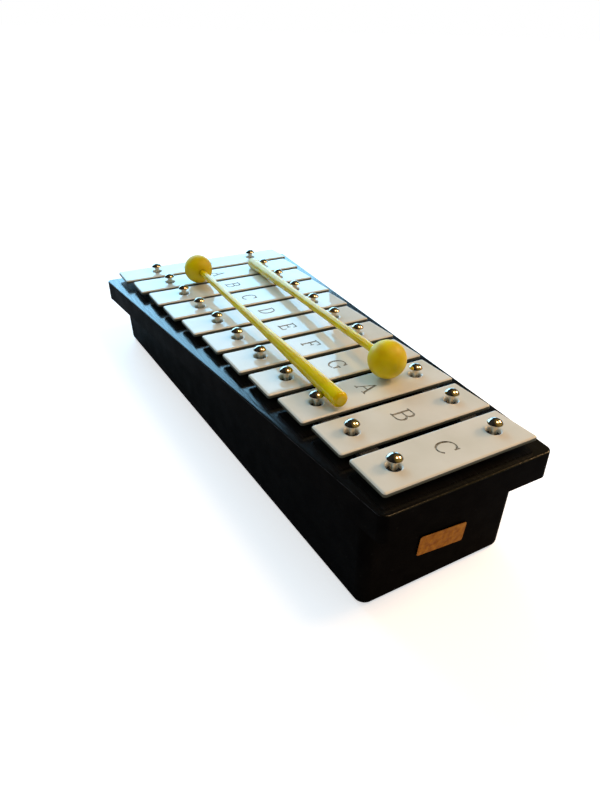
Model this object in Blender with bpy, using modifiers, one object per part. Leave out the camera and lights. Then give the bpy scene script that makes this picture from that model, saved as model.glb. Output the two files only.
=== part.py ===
"""A small diatonic metallophone: eleven plated bars held by domed pins over a wedge-shaped resonator box.

Two mallets lie across the bars. Everything is modelled in the frame of the deck: X runs along the row to the
treble end, Y across it, and Z = 0 is the plane of the bars' top faces. The deck frame then leans over the box's
level underside. Metres, +Z up, the player stands on the -Y side.
"""

import math

import bmesh
import bpy
from mathutils import Matrix, Vector

# The row of bars: each bar's name and how many semitones it lies below the first, from treble to bass
NOTES = (
    ("c_high", 0),
    ("b_high", 1),
    ("a_high", 3),
    ("g_high", 5),
    ("f", 7),
    ("e", 8),
    ("d", 10),
    ("c", 12),
    ("b_low", 13),
    ("a_low", 15),
    ("g_low", 17),
)
BAR_PITCH = 0.0250
BAR_WIDTH = 0.0218
BAR_THICKNESS = 0.0020
SHORTEST_BAR = 0.0700
BAR_CORNER = 0.0012
BAR_EDGE = 0.0004
HOLE_DIAMETER = 0.0054
HOLE_ROUNDING = 0.0006

# Pins: how far the two pin rows stand from the centre line at the first and at the last bar
PIN_ROW_TREBLE = 0.0232
PIN_ROW_BASS = 0.0340
PIN_SHANK_DIAMETER = 0.0028
PIN_HEAD_DIAMETER = 0.0062
PIN_HEAD_HEIGHT = 0.0021
PIN_HEAD_CLEARANCE = 0.0030
PIN_GRIP = 0.0070

# Felt strips under the bars
FELT_WIDTH = 0.0080
FELT_THICKNESS = 0.0020
FELT_END_MARGIN = 0.0050

# Top frame: a moulded plate with a skirt, two ribs that take the pins, and the sound opening between them
RIM_MARGIN_TREBLE = 0.0051
RIM_MARGIN_BASS = 0.0006
RIM_WIDTH_TREBLE = 0.0774
RIM_WIDTH_BASS = 0.1312
RIM_CORNER = 0.0030
RIM_EDGE = 0.0006
FRAME_WALL = 0.0022
SKIRT_HEIGHT = 0.0119
RIB_WIDTH = 0.0070
RIB_HEIGHT = 0.0085
RIB_END_MARGIN = 0.0022
OPENING_SIDE_MARGIN = 0.0055
OPENING_END_MARGIN = 0.0160
OPENING_CORNER = 0.0060

# Resonator box: how far its end walls stand in from the rim, the room between its side walls and the skirt's inside
# at the two end walls, and its depth below the bars' tops there
BOX_INSET_TREBLE = 0.0105
BOX_INSET_BASS = 0.0060
BOX_ROOM_TREBLE = 0.0003
BOX_ROOM_BASS = 0.0055
BOX_DEPTH_TREBLE = 0.0614
BOX_DEPTH_BASS = 0.0450
BOX_WALL = 0.0025
BOX_DRAFT = math.radians(1.2)
BOX_CORNER = 0.0045
BOX_BOTTOM_EDGE = 0.0030

# Gold label on the treble end wall
LABEL_WIDTH = 0.0234
LABEL_HEIGHT = 0.0096
LABEL_THICKNESS = 0.0003
LABEL_CORNER = 0.0010
LABEL_DROP = 0.0403
LABEL_TURN = math.radians(-5.5)

# Mallets: a turned ball pushed on a tapered stick
BALL_DIAMETER = 0.0173
STICK_LENGTH = 0.1748
HANDLE_DIAMETER = 0.0070
HANDLE_TAPER = 0.0770
HANDLE_ROUNDING = 0.0016
WAIST_DIAMETER = 0.0043
NECK_DIAMETER = 0.0038
SOCKET_DEPTH = 0.0060
LEFT_BALL_PLACE = -3.55
LEFT_BALL_OUT = 0.0170
LEFT_HANDLE_BAR = 2
RIGHT_BALL_PLACE = 2.85
RIGHT_BALL_OUT = 0.0120
RIGHT_HANDLE_BAR = 9
LEFT_HANDLE_CLEARANCE = 0.0004
RIGHT_HANDLE_CLEARANCE = 0.0023

# Clearances: between pieces that rest on each other, and round a driven pin or a pushed-on ball
SEAT_GAP = 0.0003
FIT_GAP = 0.0003

# Facets
PIN_FACETS = 14
HOLE_FACETS = 14
DOME_STEPS = 3
BALL_FACETS = 22
BALL_STEPS = 10
STICK_FACETS = 14
END_STEPS = 3
CORNER_STEPS = 3

MATERIALS = {
    "nickel_plate": ((0.80, 0.79, 0.76), 0.14, 1.0),
    "chrome": ((0.78, 0.77, 0.75), 0.08, 1.0),
    "black_plastic": ((0.012, 0.011, 0.012), 0.22, 0.0),
    "green_felt": ((0.03, 0.06, 0.04), 0.95, 0.0),
    "gold_foil": ((0.62, 0.38, 0.10), 0.35, 1.0),
    "yellow_plastic": ((0.72, 0.62, 0.02), 0.25, 0.0),
}

SIDES = (("left", -1), ("right", 1))
FIRST_BAR = (len(NOTES) - 1) / 2 * BAR_PITCH
LAST_BAR = -FIRST_BAR
RIM_TREBLE = FIRST_BAR + BAR_WIDTH / 2 + RIM_MARGIN_TREBLE
RIM_BASS = LAST_BAR - BAR_WIDTH / 2 - RIM_MARGIN_BASS
BOX_TREBLE = RIM_TREBLE - BOX_INSET_TREBLE
BOX_BASS = RIM_BASS + BOX_INSET_BASS
FELT_TOP = -BAR_THICKNESS - SEAT_GAP
DECK = FELT_TOP - FELT_THICKNESS - SEAT_GAP
PLATE_UNDER = DECK - FRAME_WALL
SKIRT_FOOT = DECK - SKIRT_HEIGHT
BOX_TOP = PLATE_UNDER - SEAT_GAP
CUT_PAST = 0.0010
MERGE = 0.00001


def between(x, x_treble, value_treble, x_bass, value_bass):
    """The value at x on the straight line through a treble and a bass value."""
    share = (x_treble - x) / (x_treble - x_bass)
    return value_treble + share * (value_bass - value_treble)


def bar_x(number):
    """Where bar number stands along the row, counted from the treble end."""
    return FIRST_BAR - number * BAR_PITCH


def bar_length(semitones):
    """A free bar's pitch rises with one over its length squared, so an octave shortens it by root two."""
    return SHORTEST_BAR * 2 ** (semitones / 24)


def pin_row(x):
    return between(x, FIRST_BAR, PIN_ROW_TREBLE, LAST_BAR, PIN_ROW_BASS)


def rim_half(x):
    return between(x, RIM_TREBLE, RIM_WIDTH_TREBLE, RIM_BASS, RIM_WIDTH_BASS) / 2


def box_half(x):
    return rim_half(x) - FRAME_WALL - between(x, BOX_TREBLE, BOX_ROOM_TREBLE, BOX_BASS, BOX_ROOM_BASS)


def box_depth(x):
    return between(x, BOX_TREBLE, BOX_DEPTH_TREBLE, BOX_BASS, BOX_DEPTH_BASS)


LEAN = math.atan((BOX_DEPTH_TREBLE - BOX_DEPTH_BASS) / (BOX_TREBLE - BOX_BASS))


def clear_scene():
    for item in list(bpy.data.objects):
        bpy.data.objects.remove(item, do_unlink=True)


def make_collection(name):
    collection = bpy.data.collections.new(name)
    bpy.context.scene.collection.children.link(collection)
    return collection


def make_material(name):
    colour, roughness, metallic = MATERIALS[name]
    material = bpy.data.materials.new(name)
    material.use_nodes = True
    shader = material.node_tree.nodes["Principled BSDF"]
    shader.inputs["Base Color"].default_value = (*colour, 1.0)
    shader.inputs["Roughness"].default_value = roughness
    shader.inputs["Metallic"].default_value = metallic
    return material


def make_mesh(name, bm):
    """Turns a bmesh into a mesh that is smooth but for its sharp edges."""
    bmesh.ops.recalc_face_normals(bm, faces=bm.faces)
    mesh = bpy.data.meshes.new(name)
    bm.to_mesh(mesh)
    bm.free()
    mesh.shade_smooth()
    mesh.set_sharp_from_angle(angle=math.radians(35))
    return mesh


def place(name, mesh, kit, material=None, at=(0, 0, 0)):
    """Puts a piece on the deck, or, with no material, a hidden helper among the cutters."""
    piece = bpy.data.objects.new(name, mesh)
    piece.parent = kit["deck"]
    piece.location = at
    if material:
        if not mesh.materials:
            mesh.materials.append(kit[material])
        kit["parts"].objects.link(piece)
    else:
        piece.hide_render = True
        piece.display_type = "WIRE"
        kit["cutters"].objects.link(piece)
    return piece


def block(ends, y_low, y_high, z_low, z_high):
    """A bmesh box whose sides are straight functions of x, between two ends along X."""
    bm = bmesh.new()
    bmesh.ops.create_cube(bm, size=2)
    for corner in bm.verts:
        x = ends[1] if corner.co.x > 0 else ends[0]
        y = y_high(x) if corner.co.y > 0 else y_low(x)
        z = z_high(x) if corner.co.z > 0 else z_low(x)
        corner.co = (x, y, z)
    return bm


def level(z):
    return lambda x: z


def strip(ends, sign, width, foot, top):
    """A bmesh strip of even width along the middle of a pin row."""
    return block(ends, lambda x: sign * pin_row(x) - width / 2, lambda x: sign * pin_row(x) + width / 2,
                 level(foot), level(top))


def round_edges(bm, edges, radius, steps):
    bmesh.ops.bevel(bm, geom=list(edges), offset=radius, segments=steps, profile=0.5,
                    affect="EDGES", material=-1)


def upright_edges(bm):
    return [edge for edge in bm.edges if abs((edge.verts[0].co - edge.verts[1].co).normalized().z) > 0.9]


def boolean(piece, helper, operation):
    modifier = piece.modifiers.new(helper.name, "BOOLEAN")
    modifier.operation = operation
    modifier.solver = "EXACT"
    modifier.object = helper


def turned(name, profile, facets):
    """A closed mesh, spun round Z from a line of (radius, height) points that starts and ends on the axis."""
    bm = bmesh.new()
    points = [bm.verts.new((radius, 0, height)) for radius, height in profile]
    line = [bm.edges.new(pair) for pair in zip(points, points[1:])]
    bmesh.ops.spin(bm, geom=points + line, cent=(0, 0, 0), axis=(0, 0, 1), angle=math.tau, steps=facets,
                   use_merge=True)
    bmesh.ops.remove_doubles(bm, verts=bm.verts, dist=MERGE)
    return make_mesh(name, bm)


def arc(centre, radius, start, end, steps):
    """Points on an arc in (radius, height), with angles counted from the axis."""
    angles = [start + (end - start) * i / steps for i in range(steps + 1)]
    return [(centre[0] + radius * math.sin(a), centre[1] + radius * math.cos(a)) for a in angles]


def make_bars(kit):
    """Flat bars with rounded corners and two flared holes each, lying face up along the row."""
    for number, (note, semitones) in enumerate(NOTES):
        half = bar_length(semitones) / 2
        width = BAR_WIDTH / 2
        bm = block((-width, width), level(-half), level(half), level(-BAR_THICKNESS), level(0))
        round_edges(bm, upright_edges(bm), BAR_CORNER, CORNER_STEPS)
        flat = [edge for edge in bm.edges if abs(edge.verts[0].co.z - edge.verts[1].co.z) < BAR_EDGE / 10]
        round_edges(bm, flat, BAR_EDGE, 1)
        bar = place("bar_" + note, make_mesh("bar_" + note, bm), kit, "nickel_plate", (bar_x(number), 0, 0))
        for side, sign in SIDES:
            cutter = make_hole_cutter("hole_" + note + "_" + side, kit)
            cutter.location = (bar_x(number), sign * pin_row(bar_x(number)), 0)
            boolean(bar, cutter, "DIFFERENCE")


def make_hole_cutter(name, kit):
    """A drill that flares where it enters the bar's top face."""
    radius = HOLE_DIAMETER / 2
    flare = radius + HOLE_ROUNDING
    profile = [(0, CUT_PAST), (flare, CUT_PAST)]
    profile += arc((flare, -HOLE_ROUNDING), HOLE_ROUNDING, 0, -math.pi / 2, 2)
    profile += [(radius, -BAR_THICKNESS - CUT_PAST), (0, -BAR_THICKNESS - CUT_PAST)]
    return place(name, turned(name, profile, HOLE_FACETS), kit)


def make_pins(kit):
    """Domed nails through each bar's two holes, driven into the top frame's ribs."""
    head = PIN_HEAD_DIAMETER / 2
    shank = PIN_SHANK_DIAMETER / 2
    dome = [(head * math.sin(a), PIN_HEAD_CLEARANCE + PIN_HEAD_HEIGHT * math.cos(a))
            for a in (math.pi / 2 * i / DOME_STEPS for i in range(DOME_STEPS + 1))]
    foot = PLATE_UNDER - PIN_GRIP
    profile = dome + [(shank, PIN_HEAD_CLEARANCE), (shank, foot), (0, foot)]
    mesh = turned("pin", profile, PIN_FACETS)
    for number, (note, _) in enumerate(NOTES):
        x = bar_x(number)
        for side, sign in SIDES:
            place("pin_" + note + "_" + side, mesh, kit, "chrome", (x, sign * pin_row(x), 0))


def pin_hole_cutter(name, kit, radius, top, foot, signs):
    """All the round holes that one strip or frame has for the pins, as one cutter."""
    bm = bmesh.new()
    for number in range(len(NOTES)):
        x = bar_x(number)
        for sign in signs:
            middle = Matrix.Translation((x, sign * pin_row(x), (top + foot) / 2))
            bmesh.ops.create_cone(bm, cap_ends=True, segments=HOLE_FACETS, radius1=radius, radius2=radius,
                                  depth=top - foot, matrix=middle)
    return place(name, make_mesh(name, bm), kit)


def make_felts(kit):
    """A felt strip along each pin row, which the bars rest on."""
    ends = (LAST_BAR - FELT_END_MARGIN, FIRST_BAR + FELT_END_MARGIN)
    radius = PIN_SHANK_DIAMETER / 2 + FIT_GAP
    for side, sign in SIDES:
        bm = strip(ends, sign, FELT_WIDTH, FELT_TOP - FELT_THICKNESS, FELT_TOP)
        name = "felt_strip_" + side
        felt = place(name, make_mesh(name, bm), kit, "green_felt")
        top = FELT_TOP + CUT_PAST
        foot = FELT_TOP - FELT_THICKNESS - CUT_PAST
        boolean(felt, pin_hole_cutter("felt_holes_" + side, kit, radius, top, foot, (sign,)), "DIFFERENCE")


def make_top_frame(kit):
    """The rim: a plate with a skirt all round, ribs under the pin rows and the sound opening between them."""
    bm = block((RIM_BASS, RIM_TREBLE), lambda x: -rim_half(x), rim_half, level(SKIRT_FOOT), level(DECK))
    bottom = min(bm.faces, key=lambda face: face.calc_center_median().z)
    bmesh.ops.delete(bm, geom=[bottom], context="FACES_ONLY")
    round_edges(bm, upright_edges(bm), RIM_CORNER, CORNER_STEPS)
    frame = place("top_frame", make_mesh("top_frame", bm), kit, "black_plastic")

    wall = frame.modifiers.new("wall", "SOLIDIFY")
    wall.thickness = FRAME_WALL
    wall.offset = -1
    wall.use_even_offset = True

    edge = frame.modifiers.new("edge", "BEVEL")
    edge.width = RIM_EDGE
    edge.segments = 1
    edge.limit_method = "ANGLE"
    edge.angle_limit = math.radians(50)

    rib_ends = (LAST_BAR - RIB_END_MARGIN, FIRST_BAR + RIB_END_MARGIN)
    for side, sign in SIDES:
        rib = strip(rib_ends, sign, RIB_WIDTH, PLATE_UNDER - RIB_HEIGHT, DECK - FRAME_WALL / 2)
        boolean(frame, place("rib_" + side, make_mesh("rib_" + side, rib), kit), "UNION")

    opening_ends = (RIM_BASS + OPENING_END_MARGIN, RIM_TREBLE - OPENING_END_MARGIN)
    opening = block(opening_ends, lambda x: OPENING_SIDE_MARGIN - pin_row(x),
                    lambda x: pin_row(x) - OPENING_SIDE_MARGIN,
                    level(PLATE_UNDER - CUT_PAST), level(DECK + CUT_PAST))
    round_edges(opening, upright_edges(opening), OPENING_CORNER, CORNER_STEPS)
    boolean(frame, place("sound_opening", make_mesh("sound_opening", opening), kit), "DIFFERENCE")

    radius = PIN_SHANK_DIAMETER / 2 + FIT_GAP
    foot = PLATE_UNDER - PIN_GRIP - FIT_GAP
    boolean(frame, pin_hole_cutter("frame_holes", kit, radius, DECK + CUT_PAST, foot, (-1, 1)), "DIFFERENCE")


def make_resonator_box(kit):
    """The tub: drafted walls with a level floor that meets the leaning deck's frame as a wedge."""
    def drafted(x):
        return math.tan(BOX_DRAFT) * (BOX_TOP + box_depth(x))

    bm = block((BOX_BASS, BOX_TREBLE), lambda x: -box_half(x), box_half,
               lambda x: -box_depth(x), level(BOX_TOP))
    for corner in bm.verts:
        if corner.co.z < BOX_TOP - BOX_WALL:
            inward = drafted(corner.co.x)
            corner.co.y -= math.copysign(inward, corner.co.y)
            corner.co.x -= math.copysign(inward, corner.co.x)
            corner.co.z = -box_depth(corner.co.x)
    top = max(bm.faces, key=lambda face: face.calc_center_median().z)
    bmesh.ops.delete(bm, geom=[top], context="FACES_ONLY")
    round_edges(bm, upright_edges(bm), BOX_CORNER, CORNER_STEPS)
    floor = min(bm.faces, key=lambda face: face.calc_center_median().z)
    round_edges(bm, floor.edges, BOX_BOTTOM_EDGE, 2)
    box = place("resonator_box", make_mesh("resonator_box", bm), kit, "black_plastic")
    wall = box.modifiers.new("wall", "SOLIDIFY")
    wall.thickness = BOX_WALL
    wall.offset = -1
    wall.use_even_offset = True


def make_label(kit):
    """A bare foil label, stuck a little askew on the treble end wall."""
    bm = block((0, LABEL_THICKNESS), level(-LABEL_WIDTH / 2), level(LABEL_WIDTH / 2),
               level(-LABEL_HEIGHT / 2), level(LABEL_HEIGHT / 2))
    across = [edge for edge in bm.edges if abs(edge.verts[0].co.x - edge.verts[1].co.x) > LABEL_THICKNESS / 2]
    round_edges(bm, across, LABEL_CORNER, 2)
    wall_x = BOX_TREBLE - math.tan(BOX_DRAFT) * (LABEL_DROP + BOX_TOP)
    label = place("label_plate", make_mesh("label_plate", bm), kit, "gold_foil",
                  (wall_x + SEAT_GAP / math.cos(BOX_DRAFT), 0, -LABEL_DROP))
    label.rotation_euler = (LABEL_TURN, BOX_DRAFT, 0)


def stick_profile():
    """The stick from its rounded handle end, at the top, down to the end that sits in the ball."""
    handle = HANDLE_DIAMETER / 2
    flat = handle - HANDLE_ROUNDING
    taper_foot = STICK_LENGTH - HANDLE_TAPER
    socket_floor = BALL_DIAMETER / 2 - SOCKET_DEPTH + FIT_GAP
    end = [(0, STICK_LENGTH)] + arc((flat, STICK_LENGTH - HANDLE_ROUNDING), HANDLE_ROUNDING, 0, math.pi / 2, END_STEPS)
    slim = [(WAIST_DIAMETER / 2, taper_foot), (NECK_DIAMETER / 2, socket_floor), (0, socket_floor)]
    return end + slim


def ball_profile():
    """The ball round its centre, with a blind socket that opens upwards for the stick."""
    radius = BALL_DIAMETER / 2
    socket = NECK_DIAMETER / 2 + FIT_GAP
    mouth = math.asin(socket / radius)
    floor = radius - SOCKET_DEPTH
    return [(0, floor), (socket, floor)] + arc((0, 0), radius, mouth, math.pi, BALL_STEPS)[:-1] + [(0, -radius)]


def make_mallet(kit, side, ball_at, handle_at):
    """A mallet that lies with its ball and the end of its handle on the bars."""
    ball_centre = Vector((*ball_at, BALL_DIAMETER / 2 + SEAT_GAP))
    handle_centre = Vector((*handle_at, HANDLE_DIAMETER / 2 + SEAT_GAP))
    along = (handle_centre - ball_centre).to_track_quat("Z", "Y")
    shapes = (("ball", ball_profile(), BALL_FACETS), ("stick", stick_profile(), STICK_FACETS))
    for piece, profile, facets in shapes:
        name = "mallet_" + piece + "_" + side
        part = place(name, turned(name, profile, facets), kit, "yellow_plastic", ball_centre)
        part.rotation_mode = "QUATERNION"
        part.rotation_quaternion = along


def make_mallets(kit):
    """The left mallet's handle ends beside a pin of the third bar, the right one's beside a pin of the tenth."""
    for side, sign, place_along, out, handle_bar, clearance in (
            ("left", -1, LEFT_BALL_PLACE, LEFT_BALL_OUT, LEFT_HANDLE_BAR, LEFT_HANDLE_CLEARANCE),
            ("right", 1, RIGHT_BALL_PLACE, RIGHT_BALL_OUT, RIGHT_HANDLE_BAR, RIGHT_HANDLE_CLEARANCE)):
        ball_x = place_along * BAR_PITCH
        pin_x = bar_x(handle_bar)
        handle_out = pin_row(pin_x) - PIN_HEAD_DIAMETER / 2 - clearance - HANDLE_DIAMETER / 2
        slope = (handle_out - out) / (pin_x - ball_x)
        reach = math.copysign(STICK_LENGTH / math.hypot(1, slope), pin_x - ball_x)
        handle_x = ball_x + reach
        make_mallet(kit, side, (ball_x, sign * out), (handle_x, sign * (out + slope * reach)))


def stand_on_origin(kit):
    """Moves the deck so that the model stands on Z = 0, centred on the origin."""
    bpy.context.view_layer.update()
    depsgraph = bpy.context.evaluated_depsgraph_get()
    corners = []
    for piece in kit["parts"].objects:
        shape = piece.evaluated_get(depsgraph)
        corners += [piece.matrix_world @ vertex.co for vertex in shape.data.vertices]
    low = Vector([min(corner[axis] for corner in corners) for axis in range(3)])
    high = Vector([max(corner[axis] for corner in corners) for axis in range(3)])
    kit["deck"].location -= Vector(((low.x + high.x) / 2, (low.y + high.y) / 2, low.z))
    bpy.context.view_layer.update()


def main():
    clear_scene()
    kit = {name: make_material(name) for name in MATERIALS}
    kit["parts"] = make_collection("metallophone")
    kit["cutters"] = make_collection("cutters")
    kit["deck"] = bpy.data.objects.new("deck_frame", None)
    kit["deck"].rotation_euler = (0, -LEAN, 0)
    kit["parts"].objects.link(kit["deck"])
    make_resonator_box(kit)
    make_top_frame(kit)
    make_felts(kit)
    make_label(kit)
    make_bars(kit)
    make_pins(kit)
    make_mallets(kit)
    kit["parts"].objects.unlink(kit["deck"])
    bpy.context.scene.collection.objects.link(kit["deck"])
    stand_on_origin(kit)


main()
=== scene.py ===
"""A small diatonic metallophone, dressed round its CAD frame: plated bars stamped with their notes, domed pins,
a glossy black resonator box with an overhanging rim, a bare gold label and two translucent yellow mallets.

Laid out as a Blender add-on and run as a script. Metres, +Z up. Pieces are modelled in the deck's own frame, where
X runs along the row to the treble end, Y across it and Z = 0 is the plane of the bars' tops, and are then laid on the
leaning deck.
"""

import math

import bmesh
import bpy
from mathutils import Matrix, Vector


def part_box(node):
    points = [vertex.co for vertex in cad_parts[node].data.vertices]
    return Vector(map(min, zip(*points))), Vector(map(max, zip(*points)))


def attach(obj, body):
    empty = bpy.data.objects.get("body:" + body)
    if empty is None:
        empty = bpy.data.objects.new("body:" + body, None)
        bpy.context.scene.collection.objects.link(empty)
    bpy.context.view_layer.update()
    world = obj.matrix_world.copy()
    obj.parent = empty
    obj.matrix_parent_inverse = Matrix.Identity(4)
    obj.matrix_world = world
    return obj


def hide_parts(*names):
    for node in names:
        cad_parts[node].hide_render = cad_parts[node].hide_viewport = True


bl_info = {
    "name": "Metallophone",
    "version": (1, 0, 0),
    "blender": (4, 5, 0),
    "location": "View3D > Sidebar > Metallophone",
    "description": "Models and finishes a small metallophone on its CAD frame",
    "category": "Object",
}

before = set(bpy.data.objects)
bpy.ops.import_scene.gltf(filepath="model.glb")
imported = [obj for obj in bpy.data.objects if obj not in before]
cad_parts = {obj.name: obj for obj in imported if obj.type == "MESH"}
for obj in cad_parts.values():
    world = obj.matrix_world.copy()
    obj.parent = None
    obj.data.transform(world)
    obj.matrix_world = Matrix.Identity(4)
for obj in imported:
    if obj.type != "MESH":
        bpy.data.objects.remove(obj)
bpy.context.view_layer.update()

# The row, from the treble end: each bar's name, the letter stamped in it and how many semitones it lies below the first
NOTES = (
    ("c_high", "C", 0),
    ("b_high", "B", 1),
    ("a_high", "A", 3),
    ("g_high", "G", 5),
    ("f", "F", 7),
    ("e", "E", 8),
    ("d", "D", 10),
    ("c", "C", 12),
    ("b_low", "B", 13),
    ("a_low", "A", 15),
    ("g_low", "G", 17),
)
SIDES = (("left", -1), ("right", 1))

# Sizes that the CAD model gives, in metres
BAR_PITCH = 0.0250
BAR_WIDTH = 0.0218
BAR_THICKNESS = 0.0020
SHORTEST_BAR = 0.0700
PIN_ROW_TREBLE = 0.0232
PIN_ROW_BASS = 0.0340
PIN_HEAD_CLEARANCE = 0.0030
PIN_FOOT = -0.0138
PIN_HEAD = 0.0062
PIN_DOME = 0.0021
PIN_SHANK = 0.0028
PIN_HOLE = 0.0054
RIM_MARGIN_TREBLE = 0.0051
RIM_MARGIN_BASS = 0.0006
RIM_WIDTH_TREBLE = 0.0774
RIM_WIDTH_BASS = 0.1312
FRAME_WALL = 0.0022
SKIRT_HEIGHT = 0.0119
RIB_WIDTH = 0.0070
RIB_HEIGHT = 0.0085
RIB_END_MARGIN = 0.0022
OPENING_SIDE_MARGIN = 0.0055
OPENING_END_MARGIN = 0.0160
BOX_INSET_TREBLE = 0.0105
BOX_INSET_BASS = 0.0060
BOX_ROOM_TREBLE = 0.0003
BOX_ROOM_BASS = 0.0055
BOX_DEPTH_TREBLE = 0.0614
BOX_DEPTH_BASS = 0.0450
BOX_WALL = 0.0025
BOX_DRAFT = math.radians(1.2)
LABEL_WIDTH = 0.0234
LABEL_HEIGHT = 0.0096
LABEL_THICKNESS = 0.0003
LABEL_DROP = 0.0403
LABEL_TURN = math.radians(-5.5)
BALL_DIAMETER = 0.0173
BALL_TRIM = 0.0001
RIM_TRIM = 0.00003
STICK_LENGTH = 0.1748
HANDLE_DIAMETER = 0.0070
HANDLE_ROUNDING = 0.0016
SEAT_GAP = 0.0003
FIT_GAP = 0.0003

FIRST_BAR = (len(NOTES) - 1) / 2 * BAR_PITCH
LAST_BAR = -FIRST_BAR
RIM_TREBLE = FIRST_BAR + BAR_WIDTH / 2 + RIM_MARGIN_TREBLE
RIM_BASS = LAST_BAR - BAR_WIDTH / 2 - RIM_MARGIN_BASS
BOX_TREBLE = RIM_TREBLE - BOX_INSET_TREBLE
BOX_BASS = RIM_BASS + BOX_INSET_BASS
DECK = -BAR_THICKNESS - SEAT_GAP - 0.0020 - SEAT_GAP
PLATE_UNDER = DECK - FRAME_WALL
SKIRT_FOOT = DECK - SKIRT_HEIGHT
BOX_TOP = PLATE_UNDER - SEAT_GAP
MERGE = 0.00001


def linear(code):
    """An sRGB hex colour, such as c0ffee, as linear red, green, blue and alpha 1."""
    parts = [int(code[i:i + 2], 16) / 255 for i in (0, 2, 4)]
    return [part / 12.92 if part <= 0.04045 else ((part + 0.055) / 1.055) ** 2.4 for part in parts] + [1.0]


def middle(node):
    low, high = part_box(node)
    return (low + high) / 2


def deck_frame():
    """The deck's frame in the world, from the middles of the first and the last bar."""
    first = middle("bar_c_high")
    last = middle("bar_g_low")
    along = (first - last).normalized()
    turn = Matrix.Rotation(-math.atan2(along.z, along.x), 4, "Y")
    centre = (first + last) / 2 + turn @ Vector((0, 0, BAR_THICKNESS / 2))
    return Matrix.Translation(centre) @ turn


ON_DECK = deck_frame()


def between(x, x_treble, value_treble, x_bass, value_bass):
    share = (x_treble - x) / (x_treble - x_bass)
    return value_treble + share * (value_bass - value_treble)


def bar_x(number):
    return FIRST_BAR - number * BAR_PITCH


def pin_row(x):
    return between(x, FIRST_BAR, PIN_ROW_TREBLE, LAST_BAR, PIN_ROW_BASS)


def rim_half(x):
    return between(x, RIM_TREBLE, RIM_WIDTH_TREBLE, RIM_BASS, RIM_WIDTH_BASS) / 2


def box_half(x):
    return rim_half(x) - FRAME_WALL - between(x, BOX_TREBLE, BOX_ROOM_TREBLE, BOX_BASS, BOX_ROOM_BASS)


def box_depth(x):
    return between(x, BOX_TREBLE, BOX_DEPTH_TREBLE, BOX_BASS, BOX_DEPTH_BASS)


def hex_colour(name, description, code):
    return bpy.props.FloatVectorProperty(
        name=name, description=description, subtype="COLOR", size=4, min=0, max=1, default=linear(code))


def length(name, description, default):
    return bpy.props.FloatProperty(name=name, description=description, default=default, min=0, unit="LENGTH")


def share(name, description, default):
    return bpy.props.FloatProperty(name=name, description=description, default=default, min=0, max=1, subtype="FACTOR")


class BarSettings(bpy.types.PropertyGroup):
    corner: length("Corner radius", "Radius of a bar's corners in plan", 0.0013)
    edge: length("Edge radius", "Rounding of a bar's upper edges", 0.0011)
    under_edge: length("Lower edge radius", "Rounding of a bar's lower edges", 0.0005)
    hole_rounding: length("Hole rounding", "Rounding of a hole's rim", 0.0010)
    letter: length("Letter height", "Height of a stamped letter", 0.0087)
    letter_depth: length("Letter depth", "Depth of a stamped letter", 0.00034)
    plate: hex_colour("Plate", "Colour of the nickel plate", "e6e4d6")
    tarnish: hex_colour("Tarnish", "Colour of the plate's duller patches", "d9d7c6")
    # The side colour is painted shade: a darker copy of the plate for the bars' sides.
    side_shade: hex_colour("Side shade", "Colour of the bars' bare sides", "5a5c50")
    # The groove colour is painted shade for the bottoms of the stamped letters.
    groove_shade: hex_colour("Groove shade", "Colour of the dirt in the letters", "57523f")
    roughness: share("Roughness", "Roughness of the plate", 0.42)
    metal: share("Metal", "How much of the plate shows through the lacquer", 0.03)


class PinSettings(bpy.types.PropertyGroup):
    lip: length("Lip", "Rounding of a head's rim", 0.0003)
    fillet: length("Fillet", "Rounding where the head meets the shank", 0.0005)
    chrome: hex_colour("Chrome", "Colour of the chrome plate", "d2c8b8")


class CaseSettings(bpy.types.PropertyGroup):
    rim_corner: length("Rim corner", "Radius of the rim's upright corners", 0.0030)
    rim_edge: length("Rim edge", "Rounding of the rim's upper edge", 0.0006)
    box_corner: length("Box corner", "Radius of the box's upright corners", 0.0045)
    box_edge: length("Box edge", "Rounding of the box's bottom edge", 0.0030)
    plastic: hex_colour("Plastic", "Colour of the black plastic", "050404")
    worn: hex_colour("Worn plastic", "Colour of the plastic where it is scuffed or dusty", "171614")
    foil: hex_colour("Foil", "Colour of the gold label", "8c5412")
    # The lighter foil colour is a painted highlight on the raised creases.
    foil_crest_highlight: hex_colour("Foil crest highlight", "Colour of the label's raised creases", "b57c1f")
    felt: hex_colour("Felt", "Colour of the felt strips", "1c1e1b")
    fluff: hex_colour("Fluff", "Colour of the felt's raised fibres", "33352f")


class MalletSettings(bpy.types.PropertyGroup):
    neck: length("Neck", "Diameter of the stick at the ball", 0.0038)
    waist: length("Waist", "Diameter of the stick past the handle", 0.0043)
    taper: length("Taper", "Length of the handle's taper", 0.0770)
    socket: length("Socket", "Depth of the ball's socket", 0.0060)
    yellow: hex_colour("Yellow", "Colour of the yellow plastic", "e6d400")
    amber: hex_colour("Amber", "Colour of the plastic's denser swirls", "d8ba00")


class StageSettings(bpy.types.PropertyGroup):
    floor: hex_colour("Floor", "Colour of the floor", "f4f4f4")
    cool: hex_colour("Cool light", "Colour of the light at the far end", "9ad9ff")
    warm: hex_colour("Warm light", "Colour of the light on the right", "ffcc96")
    window: bpy.props.FloatProperty(name="Window", description="Brightness of the light at the far end", default=4.4, min=0)
    lamp: bpy.props.FloatProperty(name="Lamp", description="Brightness of the light on the right", default=18.0, min=0)


# Levels of the stage's light, where 1 is white
WORLD_LIGHT = 0.32
FLOOR_LIFT = 0.60
FLOOR_LIFT_FAR = 0.90
TENT_FAR = 0.03
TENT_NEAR = 0.015
TENT_DARK = (0.755, -0.424, 0.5)
TENT_WARM = (0.40, 0.60, 0.69)

SETTINGS = {
    "metallophone_bars": BarSettings,
    "metallophone_pins": PinSettings,
    "metallophone_case": CaseSettings,
    "metallophone_mallets": MalletSettings,
    "metallophone_stage": StageSettings,
}


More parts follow.
